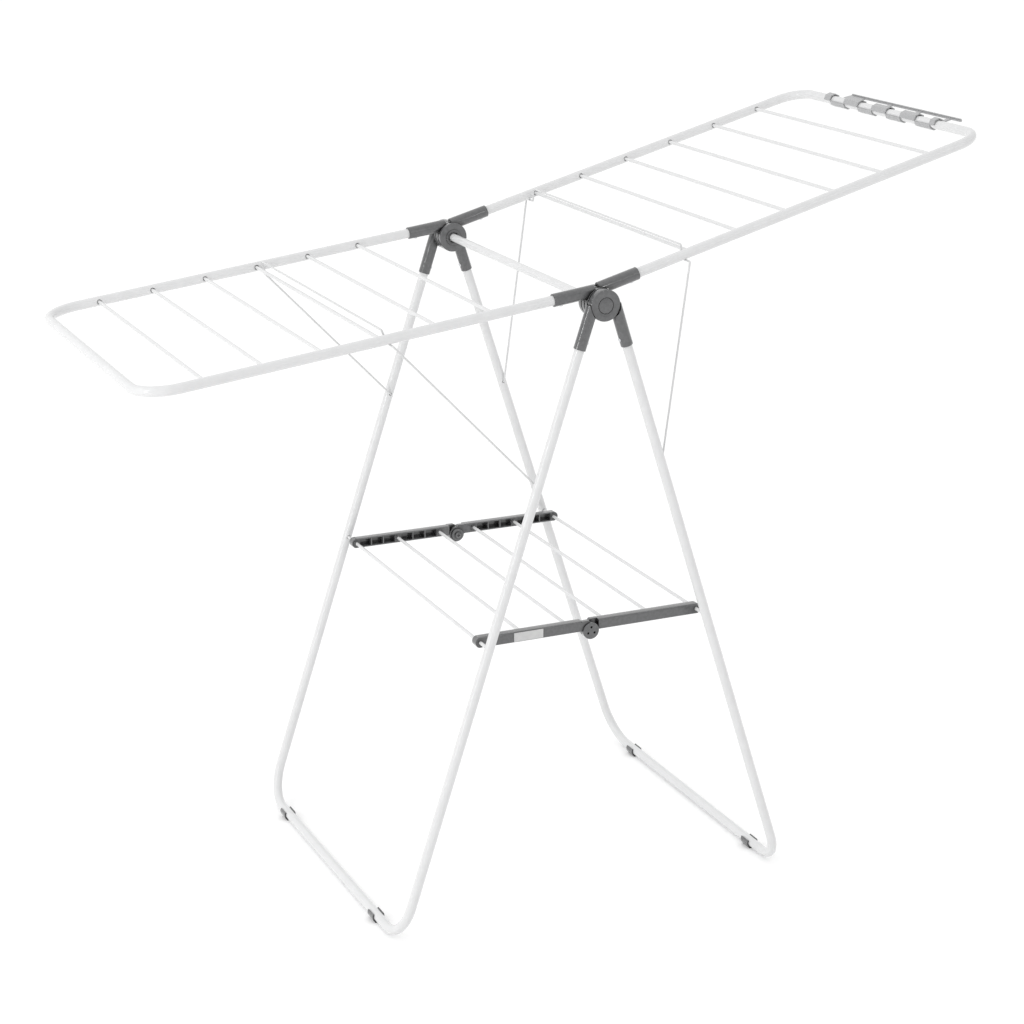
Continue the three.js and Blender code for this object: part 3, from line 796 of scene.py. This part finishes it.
def knuckle_pin_mesh(sign):
    """A pin with a low round head, crossed by two slots."""
    mesh = lathe([(r, sign * h) for r, h in PIN_OUTLINE], 40)
    start, stop = (sign * y for y in PIN_SLOT_Y)
    half_length, half_width = PIN_SLOT
    slots = [
        block((-half_length, start, -half_width), (half_length, stop, half_width)),
        block((-half_width, start, -half_length), (half_width, stop, half_length)),
    ]
    return moved(cut(mesh, *slots), 0, 0, SHELF_HEIGHT - KNUCKLE_DROP)


def build_shelf_half(turned, body, first_rod, step, pin_end):
    """Two side bars and three rods, numbered from the one that is also the pin in the leg."""
    place = side_matrix(turned)
    for end, sign in ends(turned):
        show(f"{end}_{body}_channel", shelf_bar(sign, turned), place, DARK, body,
             [f"{end}_{body}_bar"])
    for i, (x, reach) in enumerate([(PIN_X, pin_end), *[(x, SHELF_ROD_END) for x in SHELF_RODS]]):
        rod = cross_bar(x, SHELF_HEIGHT, reach, ROD_R, ROD_SIDES, end_round=0.5)
        number = first_rod + i * step
        show(f"shelf_bar_{number}", rod, place, WHITE, body, [f"shelf_rod_{number}"])


# ---- feet and hanger strip ----

def sector(inner, outer, start, stop):
    """A closed outline of part of a ring, between two angles in degrees."""
    steps = 36
    angles = [math.radians(start + (stop - start) * k / steps) for k in range(steps + 1)]
    points = [(outer * math.cos(a), outer * math.sin(a)) for a in angles]
    points += [(inner * math.cos(a), inner * math.sin(a)) for a in reversed(angles)]
    return points


def foot_mesh(y):
    """A clip round the floor bar, with a flat pad under it."""
    low, high = y - FOOT_LENGTH / 2, y + FOOT_LENGTH / 2
    clip = plate(sector(FOOT_GRIP_R, FOOT_GRIP_R + FOOT_WALL, *FOOT_WRAP), low, high)
    body = join(clip, plate(soften(FOOT_PAD, [1.2, 1.2, 0, 0]), low, high))
    return cut(body, drum(FOOT_GRIP_R, low - 1, high + 1, sides=48))


def faceted_sector(start, stop, corner_r):
    """Part of a ring whose outer side has flat facets. Its inner side keeps clear of the tube."""
    half_facet = math.radians(STRIP_FACET / 2)
    steps = 60
    outer = [math.radians(a) for a in range(start, stop + 1, STRIP_FACET)]
    points = [(corner_r * math.cos(a), corner_r * math.sin(a)) for a in outer]
    inner_corner = corner_r - STRIP_WALL / math.cos(half_facet)
    for k in range(steps + 1):
        angle = stop + (start - stop) * k / steps
        from_middle = math.radians((angle - start) % STRIP_FACET - STRIP_FACET / 2)
        flat = inner_corner * math.cos(half_facet) / math.cos(from_middle)
        r = max(STRIP_GRIP_R, flat)
        points.append((r * math.cos(math.radians(angle)), r * math.sin(math.radians(angle))))
    return points


def strip_mesh():
    """Bands passing by turns over and under the end bar, with a slotted plate outside it."""
    widths = [STRIP_END_BANDS[0], *[STRIP_BAND] * STRIP_BANDS, STRIP_END_BANDS[1]]
    bands = []
    ribs = []
    y = STRIP_START
    for i, width in enumerate(widths):
        wrap = STRIP_UNDER if i % 2 else STRIP_OVER
        bands.append(plate(faceted_sector(*wrap), y, y + width))
        if i % 2:
            ribs.append(y + width / 2)
        y += width
    bottom = -STRIP_UNDER[2]
    top = bottom + STRIP_PLATE
    near = STRIP_START + STRIP_PLATE_SHIFT
    far = y + STRIP_PLATE_SHIFT
    root_x, edge_x = STRIP_PLATE_X
    corner_x, corner_y = STRIP_CORNER
    flange = soften(
        [(root_x, near), (edge_x, near), (edge_x, far - corner_y), (corner_x, far), (root_x, far)],
        [0, 2, 3, 3, 0],
    )
    slot_starts = [near - 1, *(rib + STRIP_RIB / 2 for rib in ribs[:-1])]
    slots = [
        block((STRIP_SLOT[0], start, bottom - 1), (STRIP_SLOT[1], rib - STRIP_RIB / 2, top + 1))
        for start, rib in zip(slot_starts, ribs)
    ]
    lip = block(
        (STRIP_LIP_X[0], near + STRIP_LIP_INSET, bottom),
        (STRIP_LIP_X[1], far - corner_y - STRIP_LIP_INSET, top + STRIP_LIP_HEIGHT),
    )
    return join(cut(plate(flange, bottom, top, "Z"), merged(slots)), lip, *bands)


# ---- the rack ----

LEFT, RIGHT = True, False

left_leg = build_leg("left_leg", LEFT)
right_leg = build_leg("right_leg", RIGHT)
build_hub_ends(left_leg, LEFT, "left_leg", LEG_HALF_WIDTH, LEG_OFFSET, LEG_SLEEVE_R)
build_hub_ends(right_leg, RIGHT, "right_leg", LEG_HALF_WIDTH, LEG_OFFSET, LEG_SLEEVE_R)

left_wing = build_wing("left_wing", LEFT, LEFT_WING_ANGLE, LEFT_WING_HALF_WIDTH, BEND_R)
right_wing = build_wing("right_wing", RIGHT, RIGHT_WING_ANGLE, RIGHT_WING_HALF_WIDTH, RIGHT_WING_BEND_R)
build_hub_ends(left_wing, LEFT, "left_wing", LEFT_WING_HALF_WIDTH, WING_OFFSET, WING_SLEEVE_R)
build_hub_ends(right_wing, RIGHT, "right_wing", RIGHT_WING_HALF_WIDTH, WING_OFFSET, WING_SLEEVE_R)

hub_place = side_matrix(RIGHT) @ Matrix.Translation((0, 0, HUB_HEIGHT))
axle = cross_bar(0, 0, AXLE_END, AXLE_R, TUBE_SIDES)
show("axle", axle, hub_place, WHITE, "left_leg", ["axle_tube"])
for end, sign in ends(RIGHT):
    show(f"{end}_cap", cap_mesh(sign), hub_place, DARK, "left_leg", [f"{end}_hub_cap"])

left_stay = stay_mesh(LEFT_WING_ANGLE, LEFT_WING_HALF_WIDTH, LEFT_STAY_ROD)
right_stay = stay_mesh(RIGHT_WING_ANGLE, RIGHT_WING_HALF_WIDTH, RIGHT_STAY_ROD)
show("left_stay_wire", left_stay, side_matrix(LEFT), WIRE, "left_stay", ["left_stay"])
show("right_stay_wire", right_stay, side_matrix(RIGHT), WIRE, "right_stay", ["right_stay"])

build_shelf_half(LEFT, "left_shelf", 1, 1, LEFT_PIN_END)
build_shelf_half(RIGHT, "right_shelf", 6, -1, RIGHT_PIN_END)
for end, sign in ends(RIGHT):
    show(f"{end}_knuckle_screw", knuckle_pin_mesh(sign), side_matrix(RIGHT), DARK, "left_shelf",
         [f"{end}_knuckle_pin"])
label_outline = soften(rectangle(LABEL_X[0], LABEL_Z[0], LABEL_X[1], LABEL_Z[1]), 0.8)
label = plate(label_outline, *LABEL_Y)
show("blank_label", label, side_matrix(LEFT), LABEL, "left_shelf", ["shelf_label"])

floor_bar = arm_point(LEG_ANGLE, leg_along(FLOOR_BAR_HEIGHT), LEG_OFFSET)
for turned, name in ((LEFT, "left"), (RIGHT, "right")):
    for end, y in zip(("near", "far"), FEET[name]):
        foot = moved(foot_mesh(-y if turned else y), floor_bar[0], 0, floor_bar[1])
        show(f"{end}_{name}_foot_clip", foot, side_matrix(turned), DARK, f"{name}_leg",
             [f"{end}_{name}_foot"])

strip_place = right_wing @ Matrix.Translation((WING_LENGTH, 0, WING_OFFSET))
show("hanger_clip", strip_mesh(), strip_place, GREY, "right_wing", ["hanger_strip"])


# ---- floor, light and camera ----

# The floor is in metres. The slope is how much the room brightens along X, Y and Z.
FLOOR_SIZE = 40
ROOM_SLOPE = (-0.1, 0.14, 0.16)
ROOM_LEVEL = 0.92

# The camera's sensor and lens are in millimetres, its place in metres and its turns in radians.
CAMERA_SENSOR = 36
CAMERA_LENS = 83.81
CAMERA_FROM_HUB = (-1.54951, -3.35813)
CAMERA_HEIGHT = 1.74977
CAMERA_HEADING = -0.429546
CAMERA_DIP = -0.3082
CAMERA_ROLL = -0.002319

bpy.ops.mesh.primitive_plane_add(size=FLOOR_SIZE, location=(0, 0, 0))
floor = bpy.context.object
floor.name = "floor"
floor_mat = new_material("pale_floor", (0.9, 0.9, 0.9), 0.95)
vary_colour(floor_mat, (0.895, 0.895, 0.895), (0.905, 0.905, 0.905), 0.4)
shader_of(floor_mat).inputs["Emission Color"].default_value = (1, 1, 1, 1)
shader_of(floor_mat).inputs["Emission Strength"].default_value = 0.1
floor.data.materials.append(floor_mat)

world = bpy.data.worlds.new("studio")
bpy.context.scene.world = world
world.use_nodes = True
sky = world.node_tree.nodes["Background"]
sky.inputs["Color"].default_value = (1, 1, 1, 1)

# The room is a little brighter from the left, from above and from behind the rack.
towards = node(world, "ShaderNodeTexCoord")
slope = node(world, "ShaderNodeVectorMath", operation="DOT_PRODUCT")
slope.inputs[1].default_value = ROOM_SLOPE
level = node(world, "ShaderNodeMath", operation="ADD")
level.inputs[1].default_value = ROOM_LEVEL
link(world, towards.outputs["Generated"], slope.inputs[0])
link(world, slope.outputs["Value"], level.inputs[0])
link(world, level.outputs["Value"], sky.inputs["Strength"])


def area_light(name, place, target, size, energy):
    data = bpy.data.lights.new(name, "AREA")
    data.shape = "RECTANGLE"
    data.size, data.size_y = size
    data.energy = energy
    light = bpy.data.objects.new(name, data)
    light.location = place
    light.rotation_euler = (Vector(target) - Vector(place)).to_track_quat("-Z", "Y").to_euler()
    bpy.context.scene.collection.objects.link(light)


area_light("key", (-3.2, 0.4, 3.4), (0, 0, 0.7), (1.6, 1.6), 6)
area_light("left_strip", (-3.2, -0.7, 1.45), (0, -0.1, 0.9), (0.16, 2.2), 22)
area_light("front_strip", (1.2, -3.4, 2.3), (0, 0, 0.8), (3.0, 0.08), 9)

camera_data = bpy.data.cameras.new("camera")
camera_data.sensor_width = CAMERA_SENSOR
camera_data.lens = CAMERA_LENS
camera_data.clip_end = 60
camera = bpy.data.objects.new("camera", camera_data)
turn = (
    Matrix.Rotation(CAMERA_HEADING, 4, "Z")
    @ Matrix.Rotation(CAMERA_DIP, 4, "X")
    @ Matrix.Rotation(CAMERA_ROLL, 4, "Y")
    @ Matrix.Rotation(math.pi / 2, 4, "X")
)
camera_place = (HUB.x + CAMERA_FROM_HUB[0], CAMERA_FROM_HUB[1], CAMERA_HEIGHT)
camera.matrix_world = Matrix.Translation(camera_place) @ turn
bpy.context.scene.collection.objects.link(camera)
bpy.context.scene.camera = camera
bpy.context.scene.view_settings.view_transform = "Standard"
